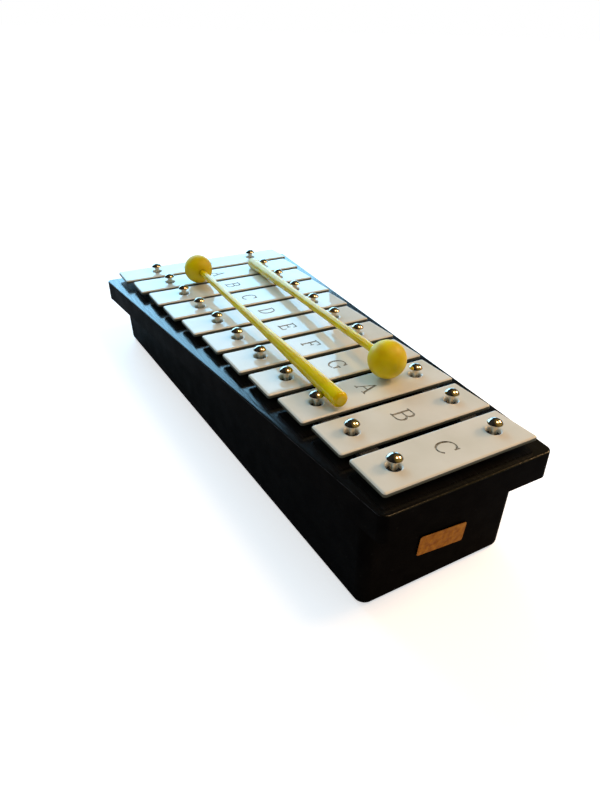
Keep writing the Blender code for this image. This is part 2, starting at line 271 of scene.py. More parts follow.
def socket(sockets, name):
    """A node's socket by its identifier, or else by its name."""
    return next((one for one in sockets if one.identifier == name), None) or sockets[name]


def add_node(tree, kind, values=None, links=None, **options):
    """Adds a node to a tree, sets its options and socket values, and links its inputs from other sockets."""
    node = tree.nodes.new(kind)
    for name, value in options.items():
        setattr(node, name, value)
    for name, value in (values or {}).items():
        socket(node.inputs, name).default_value = value
    for name, source in (links or {}).items():
        tree.links.new(source, socket(node.inputs, name))
    return node


def new_material(name):
    """An empty node material, its tree and its Object coordinates."""
    material = bpy.data.materials.new(name)
    material.use_nodes = True
    tree = material.node_tree
    tree.nodes.clear()
    where = add_node(tree, "ShaderNodeTexCoord").outputs["Object"]
    return material, tree, where


def add_surface(tree, values, links):
    """The shader that a material ends in, joined to its output."""
    shader = add_node(tree, "ShaderNodeBsdfPrincipled", values, links)
    add_node(tree, "ShaderNodeOutputMaterial", links={"Surface": shader.outputs["BSDF"]})


def mottle(tree, where, size, low, high, detail=3.0, stretch=(1, 1, 1)):
    """Soft blotches about one size across, as a number from low to high; stretch lengthens them along an axis."""
    scale = [1 / (size * part) for part in stretch]
    placed = add_node(tree, "ShaderNodeMapping", {"Scale": scale}, {"Vector": where}).outputs["Vector"]
    noise = add_node(tree, "ShaderNodeTexNoise", {"Scale": 1.0, "Detail": detail}, {"Vector": placed}).outputs["Fac"]
    spread = {"From Min": 0.3, "From Max": 0.7, "To Min": low, "To Max": high}
    return add_node(tree, "ShaderNodeMapRange", spread, {"Value": noise}).outputs["Result"]


def specks(tree, where, apart, size):
    """Scattered dots of a size, about one in each cell that is apart wide, as a number from 0 to 1."""
    cell = add_node(tree, "ShaderNodeTexVoronoi", {"Scale": 1 / apart}, {"Vector": where}).outputs["Distance"]
    spread = {"From Min": 0.8 * size / apart, "From Max": 0.3 * size / apart}
    return add_node(tree, "ShaderNodeMapRange", spread, {"Value": cell}).outputs["Result"]


def nickel_plate(settings):
    """Nickel plate on rolled steel strip, under a milky lacquer: the milk in it spreads the light, so that a bar is pale
    from every side and takes soft shadows, and its gloss mirrors the window at a low angle and wavers as lacquer flows."""
    material, tree, where = new_material("milky_lacquer_on_nickel_plate")
    patches = mottle(tree, where, 0.018, 0.0, 1.0)
    tarnish = {"A_Color": settings.plate, "B_Color": settings.tarnish}
    colour = add_node(tree, "ShaderNodeMix", tarnish, {"Factor_Float": patches}, data_type="RGBA")
    roughness = mottle(tree, where, 0.012, settings.roughness - 0.05, settings.roughness + 0.05)
    # The lacquer flowed into waves about 6 mm long and a hundredth of a millimetre high
    flow = mottle(tree, where, 0.006, 0.0, 1.0, detail=1.0)
    waves = add_node(tree, "ShaderNodeBump", {"Distance": 0.000014}, {"Height": flow})
    # Rolling leaves grain along the bar, really 0.1 mm wide and drawn at 0.5 mm so that it shows
    rolled = mottle(tree, where, 0.0005, 0.0, 1.0, stretch=(1, 14, 1))
    grain = add_node(tree, "ShaderNodeBump", {"Distance": 0.000006}, {"Height": rolled, "Normal": waves.outputs["Normal"]})
    add_surface(
        tree,
        {"Metallic": settings.metal, "Specular IOR Level": 0.1, "Coat Weight": 1.0, "Coat Roughness": 0.03, "Coat IOR": 1.4},
        {"Base Color": socket(colour.outputs, "Result_Color"), "Roughness": roughness,
         "Normal": grain.outputs["Normal"], "Coat Normal": waves.outputs["Normal"]})
    return material


def shaded_bar_side(settings):
    """The bars' sides: grey metal with drag lines down it, painted darker than the plate as painted shade, where the
    sides mirror the dark case.
    """
    material, tree, where = new_material("painted_shade_bar_side")
    # Drag lines are 0.1 mm wide and drawn at 0.4 mm
    drags = mottle(tree, where, 0.0004, 0.0, 1.0, stretch=(1, 1, 10))
    lines = add_node(tree, "ShaderNodeBump", {"Distance": 0.00001}, {"Height": drags})
    roughness = mottle(tree, where, 0.003, 0.38, 0.52)
    add_surface(tree, {"Base Color": settings.side_shade, "Metallic": 0.2},
                {"Roughness": roughness, "Normal": lines.outputs["Normal"]})
    return material


def shaded_groove(settings):
    """The bottom of a stamped letter, painted with shade: browner, darker and duller than the bar, for the shadow in
    the groove.
    """
    material, tree, where = new_material("painted_shade_in_stamped_letters")
    groove_patches = mottle(tree, where, 0.0012, 0.4, 1.0)
    ends = {"A_Color": settings.tarnish, "B_Color": settings.groove_shade}
    colour = add_node(tree, "ShaderNodeMix", ends, {"Factor_Float": groove_patches}, data_type="RGBA")
    add_surface(tree, {"Metallic": settings.metal, "Roughness": 0.6, "Specular IOR Level": 0.15},
                {"Base Color": socket(colour.outputs, "Result_Color")})
    return material


def chrome_plate(settings):
    """Bright chrome on a drawn steel nail: a mirror with faint tool marks and finger grease."""
    material, tree, where = new_material("chrome_plated_steel")
    grease = mottle(tree, where, 0.0015, 0.03, 0.11)
    pulled = mottle(tree, where, 0.0004, 0.0, 1.0)
    marks = add_node(tree, "ShaderNodeBump", {"Distance": 0.0000007}, {"Height": pulled})
    add_surface(tree, {"Base Color": settings.chrome, "Metallic": 1.0},
                {"Roughness": grease, "Normal": marks.outputs["Normal"]})
    return material


def scuffed_black(tree, where, settings, streaks):
    """The black plastic's colour: deep, with scuffs drawn out along the case and a little pale dust."""
    scuffs = mottle(tree, where, 0.0009, 0.0, 0.3, stretch=streaks)
    dust = specks(tree, where, 0.0045, 0.0007)
    marks = add_node(tree, "ShaderNodeMath", {}, {"Value": scuffs, "Value_001": dust}, operation="MAXIMUM").outputs["Value"]
    ends = {"A_Color": settings.plastic, "B_Color": settings.worn}
    mix = add_node(tree, "ShaderNodeMix", ends, {"Factor_Float": marks}, data_type="RGBA")
    return socket(mix.outputs, "Result_Color")


def black_plastic(settings):
    """Black polystyrene from a spark-eroded mould: its walls are nearly matt and drink the light, with fine pits."""
    material, tree, where = new_material("moulded_black_polystyrene")
    pits = mottle(tree, where, 0.0008, 0.0, 1.0)
    grain = add_node(tree, "ShaderNodeBump", {"Distance": 0.00002}, {"Height": pits})
    roughness = mottle(tree, where, 0.010, 0.34, 0.48)
    add_surface(tree, {"Specular IOR Level": 0.006},
                {"Base Color": scuffed_black(tree, where, settings, (6, 6, 6)), "Roughness": roughness,
                 "Normal": grain.outputs["Normal"]})
    return material


def polished_black(settings):
    """The rim's top, from a polished part of the same mould: a wet gloss, brushed by hands and cloths along its length."""
    material, tree, where = new_material("polished_black_polystyrene")
    rubbed = mottle(tree, where, 0.0011, 0.0, 1.0, detail=5.0, stretch=(16, 1, 1))
    wear = add_node(tree, "ShaderNodeBump", {"Distance": 0.00004}, {"Height": rubbed})
    roughness = mottle(tree, where, 0.0011, 0.15, 0.50, detail=5.0, stretch=(16, 1, 1))
    add_surface(tree, {"Specular IOR Level": 0.05, "Coat Weight": 1.0, "Coat Roughness": 0.06, "Coat IOR": 1.45},
                {"Base Color": scuffed_black(tree, where, settings, (30, 1, 1)), "Roughness": roughness,
                 "Normal": wear.outputs["Normal"], "Coat Normal": wear.outputs["Normal"]})
    return material


def pressed_felt(settings):
    """Pressed wool felt: dead matt, with a fuzz of fibres that catches the light at a low angle."""
    material, tree, where = new_material("pressed_wool_felt")
    # Fibres are 0.03 mm thick and drawn at 0.3 mm
    fibres = mottle(tree, where, 0.0003, 0.0, 1.0, detail=6.0, stretch=(4, 1, 2))
    ends = {"A_Color": settings.felt, "B_Color": settings.fluff}
    colour = add_node(tree, "ShaderNodeMix", ends, {"Factor_Float": fibres}, data_type="RGBA")
    fuzz = add_node(tree, "ShaderNodeBump", {"Distance": 0.0002}, {"Height": fibres})
    add_surface(tree, {"Roughness": 1.0, "Specular IOR Level": 0.2, "Sheen Weight": 0.3},
                {"Base Color": socket(colour.outputs, "Result_Color"), "Normal": fuzz.outputs["Normal"]})
    return material


def gold_foil(settings):
    """Gold foil on a paper label, rubbed down by thumb: a soft bronze shine, broken by creases and brushed lines; the
    lighter colour on the raised creases is a painted highlight.
    """
    material, tree, where = new_material("gold_foil_on_paper")
    creases = mottle(tree, where, 0.0022, 0.0, 1.0, detail=4.0)
    ends = {"A_Color": settings.foil, "B_Color": settings.foil_crest_highlight}
    colour = add_node(tree, "ShaderNodeMix", ends, {"Factor_Float": creases}, data_type="RGBA")
    brushed = mottle(tree, where, 0.0004, 0.0, 1.0, stretch=(1, 16, 1))
    folds = add_node(tree, "ShaderNodeBump", {"Distance": 0.00008}, {"Height": creases})
    lines = add_node(tree, "ShaderNodeBump", {"Distance": 0.00001}, {"Height": brushed, "Normal": folds.outputs["Normal"]})
    roughness = mottle(tree, where, 0.0015, 0.30, 0.50)
    add_surface(tree, {"Metallic": 1.0},
                {"Base Color": socket(colour.outputs, "Result_Color"), "Roughness": roughness,
                 "Normal": lines.outputs["Normal"]})
    return material


def yellow_plastic(settings, name, smooth, dull):
    """Translucent yellow polythene, moulded: light soaks in and glows amber through the thick parts, under a waxy shine
    that the mould's sink marks ripple. The sticks are polished by hands, and the balls are dulled by striking."""
    material, tree, where = new_material(name)
    swirls = mottle(tree, where, 0.007, 0.0, 1.0)
    ends = {"A_Color": settings.yellow, "B_Color": settings.amber}
    colour = add_node(tree, "ShaderNodeMix", ends, {"Factor_Float": swirls}, data_type="RGBA")
    sinks = mottle(tree, where, 0.006, 0.0, 1.0, detail=1.0)
    ripple = add_node(tree, "ShaderNodeBump", {"Distance": 0.000006}, {"Height": sinks})
    roughness = mottle(tree, where, 0.004, smooth, dull)
    add_surface(tree, {"IOR": 1.51, "Subsurface Weight": 1.0, "Subsurface Radius": (1.0, 0.7, 0.04), "Subsurface Scale": 0.002},
                {"Base Color": socket(colour.outputs, "Result_Color"), "Roughness": roughness,
                 "Normal": ripple.outputs["Normal"]})
    return material


def block(ends, y_low, y_high, z_low, z_high):
    """A bmesh box whose sides are straight functions of x, between two ends along X."""
    bm = bmesh.new()
    bmesh.ops.create_cube(bm, size=2)
    for corner in bm.verts:
        x = ends[1] if corner.co.x > 0 else ends[0]
        y = y_high(x) if corner.co.y > 0 else y_low(x)
        z = z_high(x) if corner.co.z > 0 else z_low(x)
        corner.co = (x, y, z)
    return bm


def level(z):
    return lambda x: z


def round_edges(bm, edges, radius, steps):
    bmesh.ops.bevel(bm, geom=list(edges), offset=radius, segments=steps, profile=0.5, affect="EDGES", material=-1)


def upright_edges(bm):
    return [edge for edge in bm.edges if abs((edge.verts[0].co - edge.verts[1].co).normalized().z) > 0.9]


def edges_at(bm, height):
    """The edges that lie in the level plane at a height."""
    return [edge for edge in bm.edges if all(abs(end.co.z - height) < MERGE for end in edge.verts)]


def turned(profile, facets):
    """A bmesh spun round Z from a line of (radius, height) points that starts and ends on the axis."""
    bm = bmesh.new()
    points = [bm.verts.new((radius, 0, height)) for radius, height in profile]
    line = [bm.edges.new(pair) for pair in zip(points, points[1:])]
    bmesh.ops.spin(bm, geom=points + line, cent=(0, 0, 0), axis=(0, 0, 1), angle=math.tau, steps=facets, use_merge=True)
    bmesh.ops.remove_doubles(bm, verts=bm.verts, dist=MERGE)
    bmesh.ops.recalc_face_normals(bm, faces=bm.faces)
    return bm


def arc(centre, radius, start, end, steps):
    """Points on an arc in (radius, height), with angles counted from the axis."""
    angles = [start + (end - start) * i / steps for i in range(steps + 1)]
    return [(centre[0] + radius * math.sin(a), centre[1] + radius * math.cos(a)) for a in angles]


def slope(radius, height, last_radius, last_height, steps=16):
    """Points on a straight line in (radius, height)."""
    shares = [i / steps for i in range(steps + 1)]
    return [(radius + (last_radius - radius) * share, height + (last_height - height) * share) for share in shares]


def as_object(name, bm):
    """An object of a bmesh."""
    mesh = bpy.data.meshes.new(name)
    bm.to_mesh(mesh)
    bm.free()
    piece = bpy.data.objects.new(name, mesh)
    bpy.context.scene.collection.objects.link(piece)
    return piece


def cut(piece, tool, operation="DIFFERENCE"):
    """Cuts a tool out of a piece, or joins it on, and removes the tool."""
    modifier = piece.modifiers.new("cut", "BOOLEAN")
    modifier.operation = operation
    modifier.solver = "EXACT"
    modifier.use_self = True
    modifier.object = tool
    bake(piece)
    bpy.data.objects.remove(tool, do_unlink=True)


def bake(piece):
    """Makes a piece's modifiers part of its mesh."""
    depsgraph = bpy.context.evaluated_depsgraph_get()
    mesh = bpy.data.meshes.new_from_object(piece.evaluated_get(depsgraph))
    piece.modifiers.clear()
    piece.data = mesh


def finish_piece(piece, place, material, body, replaced, sharp=35):
    """Puts a piece's place in its mesh, gives it its material and hands it to its CAD body."""
    piece.data.polygons.foreach_set("material_index", [0] * len(piece.data.polygons))
    piece.data.transform(place)
    piece.data.shade_smooth()
    piece.data.set_sharp_from_angle(angle=math.radians(sharp))
    piece.data.materials.clear()
    piece.data.materials.append(material)
    flat = piece.modifiers.new("flat faces stay flat", "WEIGHTED_NORMAL")
    flat.weight = 100
    flat.keep_sharp = True
    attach(piece, body)
    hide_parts(replaced)
    return piece


def refinish(piece, faces, material):
    """Gives some of a piece's faces another material."""
    piece.data.materials.append(material)
    for index in faces:
        piece.data.polygons[index].material_index = len(piece.data.materials) - 1


# Letter strokes, each a list of (x, y, width) points in a box one unit high: x runs to the letter's right
THIN = 0.08
THICK = 0.125


def bow(centre, radii, start, end, steps=14, thin=THIN, thick=THICK):
    """A curved stroke, thick at its left and right sides and thin at its top and bottom."""
    points = []
    for i in range(steps + 1):
        angle = math.radians(start + (end - start) * i / steps)
        width = thin + (thick - thin) * abs(math.cos(angle)) ** 1.5
        points.append((centre[0] + radii[0] * math.cos(angle), centre[1] + radii[1] * math.sin(angle), width))
    return points


def line(x0, y0, x1, y1, width=THIN):
    return [(x0, y0, width), (x1, y1, width)]


LETTERS = {
    "A": [line(-0.33, -0.48, 0.0, 0.48), line(0.0, 0.48, 0.33, -0.48, THICK), line(-0.2, -0.14, 0.2, -0.14),
          line(-0.46, -0.48, -0.2, -0.48), line(0.17, -0.48, 0.47, -0.48)],
    "B": [line(-0.22, -0.48, -0.22, 0.48, THICK), line(-0.36, 0.48, 0.06, 0.48), line(-0.22, 0.04, 0.08, 0.04),
          line(-0.36, -0.48, 0.08, -0.48), bow((0.06, 0.26), (0.22, 0.22), 90, -90), bow((0.08, -0.22), (0.27, 0.26), 90, -90)],
    "C": [bow((0.02, 0.0), (0.38, 0.47), 38, 318, 24), line(0.33, 0.46, 0.33, 0.18)],
    "D": [line(-0.24, -0.48, -0.24, 0.48, THICK), line(-0.38, 0.48, 0.0, 0.48), line(-0.38, -0.48, 0.0, -0.48),
          bow((-0.02, 0.0), (0.37, 0.48), 90, -90, 20)],
    "E": [line(-0.2, -0.48, -0.2, 0.48, THICK), line(-0.34, 0.48, 0.28, 0.48), line(0.28, 0.48, 0.28, 0.26),
          line(-0.2, 0.02, 0.14, 0.02), line(0.14, 0.13, 0.14, -0.09), line(-0.34, -0.48, 0.32, -0.48),
          line(0.32, -0.48, 0.32, -0.22)],
    "F": [line(-0.18, -0.48, -0.18, 0.48, THICK), line(-0.32, 0.48, 0.3, 0.48), line(0.3, 0.48, 0.3, 0.24),
          line(-0.18, 0.02, 0.14, 0.02), line(0.14, 0.13, 0.14, -0.09), line(-0.32, -0.48, 0.0, -0.48)],
    "G": [bow((0.0, 0.0), (0.38, 0.47), 40, 300, 24), line(0.3, 0.46, 0.3, 0.2), line(0.3, -0.42, 0.3, -0.06, THICK),
          line(0.14, -0.06, 0.42, -0.06)],
}


def letter_punch(letter, at, settings):
    """The strokes of a letter as round rods that lie in the plane of the bar's top, one half of each below it."""
    curve = bpy.data.curves.new("letter_" + letter, "CURVE")
    curve.dimensions = "3D"
    curve.bevel_mode = "ROUND"
    curve.bevel_resolution = 2
    curve.bevel_depth = 1.0
    curve.use_fill_caps = True
    for stroke in LETTERS[letter]:
        spline = curve.splines.new("POLY")
        spline.points.add(len(stroke) - 1)
        for point, (x, y, width) in zip(spline.points, stroke):
            point.co = (x * settings.letter, y * settings.letter, 0, 1)
            point.radius = width * settings.letter / 2
    rods = bpy.data.objects.new("letter_" + letter, curve)
    bpy.context.scene.collection.objects.link(rods)
    depsgraph = bpy.context.evaluated_depsgraph_get()
    mesh = bpy.data.meshes.new_from_object(rods.evaluated_get(depsgraph))
    bpy.data.objects.remove(rods, do_unlink=True)
    flatten = settings.letter_depth / (THICK * settings.letter / 2)
    mesh.transform(Matrix.Translation(at) @ Matrix.Diagonal((1, 1, flatten, 1)))
    punch = bpy.data.objects.new("punch", mesh)
    bpy.context.scene.collection.objects.link(punch)
    return punch


class METALLOPHONE_OT_bars(bpy.types.Operator):
    """Model the eleven stamped and plated bars"""
    bl_idname = "metallophone.bars"
    bl_label = "Bars"

    def execute(self, context):
        settings = context.scene.metallophone_bars
        plate = nickel_plate(settings)
        side_shade = shaded_bar_side(settings)
        stamped = shaded_groove(settings)
        for number, (note, letter, semitones) in enumerate(NOTES):
            x = bar_x(number)
            half = SHORTEST_BAR * 2 ** (semitones / 24) / 2
            wide = BAR_WIDTH / 2
            bm = block((-wide, wide), level(-half), level(half), level(-BAR_THICKNESS), level(0))
            round_edges(bm, upright_edges(bm), settings.corner, 8)
            round_edges(bm, edges_at(bm, 0), settings.edge, 6)
            round_edges(bm, edges_at(bm, -BAR_THICKNESS), settings.under_edge, 4)
            bar = as_object("nickel_bar_" + note, bm)
            for side, sign in SIDES:
                cut(bar, self.drill(settings, (0, sign * pin_row(x), 0)))
            cut(bar, letter_punch(letter, (0, 0, 0), settings))
            sides = [face.index for face in bar.data.polygons if self.on_side(face, half)]
            grooves = [face.index for face in bar.data.polygons if self.in_letter(face, settings)]
            place = ON_DECK @ Matrix.Translation((x, 0, 0))
            finish_piece(bar, place, plate, "bar_" + note, "bar_" + note, 30)
            # The sides get the darker side material, which is painted shade.
            refinish(bar, sides, side_shade)
            # The letters' grooves get painted shade.
            refinish(bar, grooves, stamped)
        return {"FINISHED"}

    def on_side(self, face, half):
        """Whether a face is on the outline of a bar, and leans too far to be part of its top."""
        at = face.center
        return face.normal.z < 0.6 and (abs(at.x) > BAR_WIDTH / 2 - 0.001 or abs(at.y) > half - 0.001)

    def in_letter(self, face, settings):
        """Whether a face is in the groove of the letter, which is the only thing cut into the middle of a bar's top."""
        at = face.center
        return abs(at.x) < settings.letter * 0.7 and abs(at.y) < settings.letter * 0.7 and -0.0008 < at.z < -MERGE

    def drill(self, settings, at):
        """A drill that flares where it enters the bar's top face."""
        radius = PIN_HOLE / 2
        flare = radius + settings.hole_rounding
        profile = [(0, 0.001), (flare, 0.001)]
        profile += arc((flare, -settings.hole_rounding), settings.hole_rounding, 0, -math.pi / 2, 6)
        profile += [(radius, -BAR_THICKNESS - 0.001), (0, -BAR_THICKNESS - 0.001)]
        tool = as_object("drill", turned(profile, 40))
        tool.data.transform(Matrix.Translation(at))
        return tool


class METALLOPHONE_OT_pins(bpy.types.Operator):
    """Model the twenty-two domed pins"""
    bl_idname = "metallophone.pins"
    bl_label = "Pins"

    def execute(self, context):
        settings = context.scene.metallophone_pins
        chrome = chrome_plate(settings)
        head = PIN_HEAD / 2
        shank = PIN_SHANK / 2
        lip = settings.lip
        fillet = settings.fillet
        under = PIN_HEAD_CLEARANCE
        # The dome is a cap of a sphere, whose rim turns under in a small lip
        rise = PIN_DOME - lip
        sphere = (head ** 2 + rise ** 2) / (2 * rise)
        rim = math.asin((head - lip) / (sphere - lip))
        centre = under + lip - (sphere - lip) * math.cos(rim)
        profile = arc((0, centre), sphere, 0, rim, 14) + arc((head - lip, under + lip), lip, rim, math.pi, 6)
        profile += arc((shank + fillet, under - fillet), fillet, 0, -math.pi / 2, 4)
        profile += [(shank, PIN_FOOT), (0, PIN_FOOT)]
        for number, (note, letter, semitones) in enumerate(NOTES):
            x = bar_x(number)
            for side, sign in SIDES:
                name = note + "_" + side
                pin = as_object("domed_pin_" + name, turned(profile, 40))
                place = ON_DECK @ Matrix.Translation((x, sign * pin_row(x), 0))
                finish_piece(pin, place, chrome, "case", "pin_" + name, 40)
        return {"FINISHED"}


class METALLOPHONE_OT_case(bpy.types.Operator):
    """Model the resonator box, the top frame and the label"""
    bl_idname = "metallophone.case"
    bl_label = "Case"

    def execute(self, context):
        settings = context.scene.metallophone_case
        plastic = black_plastic(settings)
        finish_piece(self.box(settings), ON_DECK, plastic, "case", "resonator_box")
        rim = self.top_frame(settings)
        upward = [face.index for face in rim.data.polygons if face.normal.z > 0.3]
        finish_piece(rim, ON_DECK, plastic, "case", "top_frame")
        refinish(rim, upward, polished_black(settings))
        self.label(settings)
        felt = pressed_felt(settings)
        for side, sign in SIDES:
            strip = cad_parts["felt_strip_" + side]
            strip.data.materials.clear()
            strip.data.materials.append(felt)
        return {"FINISHED"}

    def box(self, settings):
        """The tub: drafted walls with a level floor that meets the leaning deck's frame as a wedge."""
        bm = block((BOX_BASS, BOX_TREBLE), lambda x: -box_half(x), box_half, lambda x: -box_depth(x), level(BOX_TOP))
        for corner in bm.verts:
            if corner.co.z < BOX_TOP - BOX_WALL:
                inward = math.tan(BOX_DRAFT) * (BOX_TOP + box_depth(corner.co.x))
                corner.co.y -= math.copysign(inward, corner.co.y)
                corner.co.x -= math.copysign(inward, corner.co.x)
                corner.co.z = -box_depth(corner.co.x)
        top = max(bm.faces, key=lambda face: face.calc_center_median().z)
        bmesh.ops.delete(bm, geom=[top], context="FACES_ONLY")
        round_edges(bm, upright_edges(bm), settings.box_corner, 8)
        floor = min(bm.faces, key=lambda face: face.calc_center_median().z)
        round_edges(bm, floor.edges, settings.box_edge, 6)
        bmesh.ops.recalc_face_normals(bm, faces=bm.faces)
        tub = as_object("moulded_box", bm)
        wall = tub.modifiers.new("wall", "SOLIDIFY")
        wall.thickness = BOX_WALL
        wall.offset = -1
        wall.use_even_offset = True
        bake(tub)
        return tub

    def top_frame(self, settings):
        """The rim: a plate with a skirt all round, ribs under the pin rows and the sound opening between them."""
        bm = block((RIM_BASS, RIM_TREBLE - RIM_TRIM), lambda x: -rim_half(x), rim_half, level(SKIRT_FOOT), level(DECK))
        bottom = min(bm.faces, key=lambda face: face.calc_center_median().z)
        bmesh.ops.delete(bm, geom=[bottom], context="FACES_ONLY")
        round_edges(bm, upright_edges(bm), settings.rim_corner, 8)
        round_edges(bm, edges_at(bm, DECK), settings.rim_edge, 5)
        bmesh.ops.recalc_face_normals(bm, faces=bm.faces)
        rim = as_object("moulded_rim", bm)
        wall = rim.modifiers.new("wall", "SOLIDIFY")
        wall.thickness = FRAME_WALL
        wall.offset = -1
        wall.use_even_offset = True
        bake(rim)
        for side, sign in SIDES:
            ends = (LAST_BAR - RIB_END_MARGIN, FIRST_BAR + RIB_END_MARGIN)
            rib = block(ends, lambda x: sign * pin_row(x) - RIB_WIDTH / 2, lambda x: sign * pin_row(x) + RIB_WIDTH / 2,
                        level(PLATE_UNDER - RIB_HEIGHT), level(DECK - FRAME_WALL / 2))
            cut(rim, as_object("rib", rib), "UNION")
        ends = (RIM_BASS + OPENING_END_MARGIN, RIM_TREBLE - OPENING_END_MARGIN)
        opening = block(ends, lambda x: OPENING_SIDE_MARGIN - pin_row(x), lambda x: pin_row(x) - OPENING_SIDE_MARGIN,
                        level(PLATE_UNDER - 0.001), level(DECK + 0.001))
        round_edges(opening, upright_edges(opening), 0.006, 6)
        cut(rim, as_object("opening", opening))
        holes = bmesh.new()
        top = DECK + 0.001
        foot = PIN_FOOT - FIT_GAP
        for number in range(len(NOTES)):
            x = bar_x(number)
            for side, sign in SIDES:
                at = Matrix.Translation((x, sign * pin_row(x), (top + foot) / 2))
                bmesh.ops.create_cone(holes, cap_ends=True, segments=16, radius1=PIN_SHANK / 2 + FIT_GAP,
                                      radius2=PIN_SHANK / 2 + FIT_GAP,
                                      depth=top - foot, matrix=at)
        cut(rim, as_object("holes", holes))
        return rim

    def label(self, settings):
        """A bare foil label, stuck a little askew on the treble end wall."""
        bm = block((0, LABEL_THICKNESS), level(-LABEL_WIDTH / 2), level(LABEL_WIDTH / 2),
                   level(-LABEL_HEIGHT / 2), level(LABEL_HEIGHT / 2))
        across = [edge for edge in bm.edges if abs(edge.verts[0].co.x - edge.verts[1].co.x) > LABEL_THICKNESS / 2]
        round_edges(bm, across, 0.001, 4)
        wall_x = BOX_TREBLE - math.tan(BOX_DRAFT) * (LABEL_DROP + BOX_TOP)
        place = Matrix.Translation((wall_x + SEAT_GAP / math.cos(BOX_DRAFT), 0, -LABEL_DROP))
        place = place @ Matrix.Rotation(BOX_DRAFT, 4, "Y") @ Matrix.Rotation(LABEL_TURN, 4, "X")
        label = as_object("foil_label", bm)
        finish_piece(label, ON_DECK @ place, gold_foil(settings), "case", "label_plate")


class METALLOPHONE_OT_mallets(bpy.types.Operator):
    """Model the two yellow mallets"""
    bl_idname = "metallophone.mallets"
    bl_label = "Mallets"

    def execute(self, context):
        settings = context.scene.metallophone_mallets
        polished = yellow_plastic(settings, "hand_polished_yellow_polythene", 0.14, 0.22)
        struck = yellow_plastic(settings, "struck_yellow_polythene", 0.42, 0.55)
        handle = HANDLE_DIAMETER / 2
        rounding = HANDLE_ROUNDING
        floor = BALL_DIAMETER / 2 - settings.socket
        end = [(0, STICK_LENGTH)] + arc((handle - rounding, STICK_LENGTH - rounding), rounding, 0, math.pi / 2, 6)
        waist = STICK_LENGTH - settings.taper
        slim = slope(handle, STICK_LENGTH - rounding, settings.waist / 2, waist)[1:-1]
        slim += slope(settings.waist / 2, waist, settings.neck / 2, floor + FIT_GAP) + [(0, floor + FIT_GAP)]
        bore = settings.neck / 2 + FIT_GAP
        radius = BALL_DIAMETER / 2 - BALL_TRIM
        ball = [(0, floor), (bore, floor)] + arc((0, 0), radius, math.asin(bore / radius), math.pi, 30)[:-1] + [(0, -radius)]
        for side, sign in SIDES:
            body = "mallet_" + side
            place = self.mallet_place(side)
            stick = as_object("stick_" + side, turned(end + slim, 40))
            finish_piece(stick, place, polished, body, "mallet_stick_" + side)
            head = as_object("ball_" + side, turned(ball, 56))
            finish_piece(head, place, struck, body, "mallet_ball_" + side)
        return {"FINISHED"}

    def mallet_place(self, side):
        """Where a mallet lies: its ball's centre, with its stick along +Z, from the CAD model's ball and stick."""
        centre = middle("mallet_ball_" + side)
        low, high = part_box("mallet_stick_" + side)
        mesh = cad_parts["mallet_stick_" + side].data
        far = max((vertex.co for vertex in mesh.vertices), key=lambda co: (co - centre).length)
        along = (far - centre).normalized()
        return Matrix.Translation(centre) @ along.to_track_quat("Z", "Y").to_matrix().to_4x4()


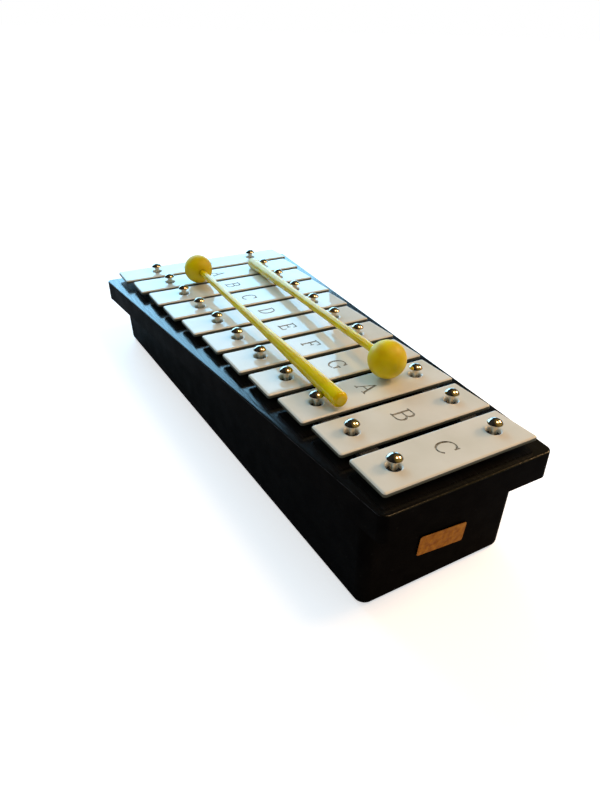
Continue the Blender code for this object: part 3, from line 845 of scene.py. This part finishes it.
class METALLOPHONE_OT_stage(bpy.types.Operator):
    """Set up the floor, the lights and the camera"""
    bl_idname = "metallophone.stage"
    bl_label = "Stage"

    def execute(self, context):
        settings = context.scene.metallophone_stage
        self.camera(context)
        self.background(context)
        self.floor(settings)
        self.tent()
        self.light("window", (-1.0, 0.12, 0.31), (0.92, 0.56), settings.window, settings.cool)
        self.light("low_window", (-0.75, 0.70, 0.13), (0.45, 0.22), settings.window * 0.8, settings.cool)
        sky = self.light("sky", (-0.80, -0.10, 0.80), (0.60, 0.40), settings.window * 1.1, settings.cool)
        sky.visible_glossy = False
        near_end = Vector((0.13, 0, 0.05))
        for name, at, level in (("upper_lamp", (0.27, 0.32, 0.95), 0.8), ("side_lamp", (0.17, 0.80, 0.61), 1.2)):
            self.light(name, at, (0.28, 0.28), settings.lamp * level, settings.warm, near_end, 50)
        context.scene.view_settings.view_transform = "Standard"
        return {"FINISHED"}

    def camera(self, context):
        """The photograph's view, from the treble end and the player's left."""
        data = bpy.data.cameras.new("camera")
        data.sensor_width = 36
        data.lens = 36 * 565.23 / 800
        data.clip_start = 0.01
        camera = bpy.data.objects.new("camera", data)
        context.scene.collection.objects.link(camera)
        eye = Vector((0.23617, -0.12531, 0.18711))
        azimuth = math.radians(-29.330)
        elevation = math.radians(33.791)
        back = Vector((math.cos(elevation) * math.cos(azimuth), math.cos(elevation) * math.sin(azimuth), math.sin(elevation)))
        roll = Matrix.Rotation(math.radians(1.872), 4, "Z")
        camera.matrix_world = Matrix.Translation(eye) @ back.to_track_quat("Z", "Y").to_matrix().to_4x4() @ roll
        context.scene.camera = camera

    def seen(self, tree):
        """1 for rays from the camera, and for those that metal or glass sends on, and 0 for the light on the object."""
        path = add_node(tree, "ShaderNodeLightPath").outputs
        direct = {"Value": path["Is Camera Ray"], "Value_001": path["Is Glossy Ray"]}
        either = add_node(tree, "ShaderNodeMath", {}, direct, operation="MAXIMUM").outputs["Value"]
        passed = {"Value": either, "Value_001": path["Is Transmission Ray"]}
        return add_node(tree, "ShaderNodeMath", {}, passed, operation="MAXIMUM").outputs["Value"]

    def background(self, context):
        """A plain white world, which lights the object at a plain level and is seen as white."""
        world = bpy.data.worlds.new("studio")
        context.scene.world = world
        world.use_nodes = True
        tree = world.node_tree
        tree.nodes.clear()
        spread = {"To Min": WORLD_LIGHT, "To Max": 1.0}
        strength = add_node(tree, "ShaderNodeMapRange", spread, {"Value": self.seen(tree)}).outputs["Result"]
        sky = add_node(tree, "ShaderNodeBackground", {"Color": (1, 1, 1, 1)}, {"Strength": strength})
        add_node(tree, "ShaderNodeOutputWorld", links={"Surface": sky.outputs["Background"]})
        world.cycles.sampling_method = "NONE"

    def floor(self, settings):
        """A pale floor that is lifted to white where it is seen, and keeps the object's shadow."""
        bm = bmesh.new()
        bmesh.ops.create_grid(bm, x_segments=1, y_segments=1, size=12)
        floor = as_object("floor", bm)
        material, tree, where = new_material("white_paper_roll")
        fibres = mottle(tree, where, 0.002, 0.86, 0.94)
        away = add_node(tree, "ShaderNodeVectorMath", {}, {"Vector": where}, operation="LENGTH").outputs["Value"]
        spread = {"From Min": 0.25, "From Max": 0.9, "To Min": FLOOR_LIFT, "To Max": FLOOR_LIFT_FAR}
        fade = add_node(tree, "ShaderNodeMapRange", spread, {"Value": away}).outputs["Result"]
        path = add_node(tree, "ShaderNodeLightPath").outputs["Is Camera Ray"]
        lift = add_node(tree, "ShaderNodeMath", {}, {"Value": path, "Value_001": fade}, operation="MULTIPLY")
        add_surface(tree, {"Base Color": settings.floor, "Specular IOR Level": 0.0, "Emission Color": (1, 1, 1, 1)},
                    {"Roughness": fibres, "Emission Strength": lift.outputs["Value"]})
        floor.data.materials.append(material)

    def tent(self):
        """A grey studio tent that only polished surfaces mirror, which glows as painted light: dark where the
        photographer stands, paler behind, with painted shade in its folds and a painted warm pool of lamplight toward
        the lamps.
        """
        bm = bmesh.new()
        bmesh.ops.create_uvsphere(bm, u_segments=48, v_segments=24, radius=3.0)
        bmesh.ops.reverse_faces(bm, faces=bm.faces)
        tent = as_object("tent", bm)
        material, tree, where = new_material("glowing_tent_for_reflections")
        # Painted shade in the tent's folds: its glow is a little weaker in places.
        folds = mottle(tree, where, 0.9, 0.92, 1.08)
        toward = add_node(tree, "ShaderNodeVectorMath", {"Vector_001": TENT_DARK}, {"Vector": where}, operation="DOT_PRODUCT")
        spread = {"From Min": 3.0 * 0.45, "From Max": 3.0 * 0.9, "To Min": TENT_FAR, "To Max": TENT_NEAR}
        level_here = add_node(tree, "ShaderNodeMapRange", spread, {"Value": toward.outputs["Value"]},
                              interpolation_type="SMOOTHSTEP").outputs["Result"]
        strength = add_node(tree, "ShaderNodeMath", {}, {"Value": level_here, "Value_001": folds}, operation="MULTIPLY")
        tent_glow = add_node(tree, "ShaderNodeEmission", {"Color": (1.0, 0.95, 0.86, 1)}, {"Strength": strength.outputs["Value"]})
        # A painted warm pool of lamplight on the tent, on the side toward the lamps.
        lamplit = add_node(tree, "ShaderNodeVectorMath", {"Vector_001": TENT_WARM}, {"Vector": where}, operation="DOT_PRODUCT")
        spread = {"From Min": 3.0 * 0.5, "From Max": 3.0, "To Min": 0.0, "To Max": 0.3}
        warmth = add_node(tree, "ShaderNodeMapRange", spread, {"Value": lamplit.outputs["Value"]}).outputs["Result"]
        glow = add_node(tree, "ShaderNodeEmission", {"Color": (1.0, 0.66, 0.12, 1)}, {"Strength": warmth})
        both = add_node(tree, "ShaderNodeAddShader", {}, {"Shader": tent_glow.outputs[0], "Shader_001": glow.outputs[0]})
        add_node(tree, "ShaderNodeOutputMaterial", links={"Surface": both.outputs["Shader"]})
        material.cycles.emission_sampling = "NONE"
        tent.data.materials.append(material)
        tent.visible_camera = False
        tent.visible_diffuse = False
        tent.visible_transmission = False
        tent.visible_volume_scatter = False
        tent.visible_shadow = False

    def light(self, name, at, size, radiance, colour, toward=Vector((0, 0, 0.04)), spread=180):
        """A soft light that faces the object, with its radiance in place of its power, and its spread in degrees."""
        data = bpy.data.lights.new(name, "AREA")
        data.shape = "RECTANGLE"
        data.size, data.size_y = size
        # Blender keeps a light's power as its spread narrows, so this part takes the gain in radiance off again
        half = math.radians(spread) / 2
        data.energy = radiance * math.pi * size[0] * size[1] * (1 - half / math.tan(half))
        data.color = colour[:3]
        data.spread = math.radians(spread)
        light = bpy.data.objects.new(name, data)
        bpy.context.scene.collection.objects.link(light)
        light.location = at
        light.rotation_mode = "QUATERNION"
        light.rotation_quaternion = (Vector(at) - toward).to_track_quat("Z", "Y")
        light.visible_camera = False
        return light


class METALLOPHONE_PT_parts(bpy.types.Panel):
    """Lists the metallophone's pieces"""
    bl_label = "Metallophone"
    bl_idname = "METALLOPHONE_PT_parts"
    bl_space_type = "VIEW_3D"
    bl_region_type = "UI"
    bl_category = "Metallophone"

    def draw(self, context):
        for operator in OPERATORS:
            self.layout.operator(operator.bl_idname)


OPERATORS = (
    METALLOPHONE_OT_stage,
    METALLOPHONE_OT_case,
    METALLOPHONE_OT_bars,
    METALLOPHONE_OT_pins,
    METALLOPHONE_OT_mallets,
)
CLASSES = tuple(SETTINGS.values()) + OPERATORS + (METALLOPHONE_PT_parts,)


def register():
    for item in CLASSES:
        bpy.utils.register_class(item)
    for name, group in SETTINGS.items():
        setattr(bpy.types.Scene, name, bpy.props.PointerProperty(type=group))


def unregister():
    for name in SETTINGS:
        delattr(bpy.types.Scene, name)
    for item in reversed(CLASSES):
        bpy.utils.unregister_class(item)


def main():
    register()
    bpy.ops.metallophone.stage()
    bpy.ops.metallophone.case()
    bpy.ops.metallophone.bars()
    bpy.ops.metallophone.pins()
    bpy.ops.metallophone.mallets()


if __name__ == "__main__":
    main()
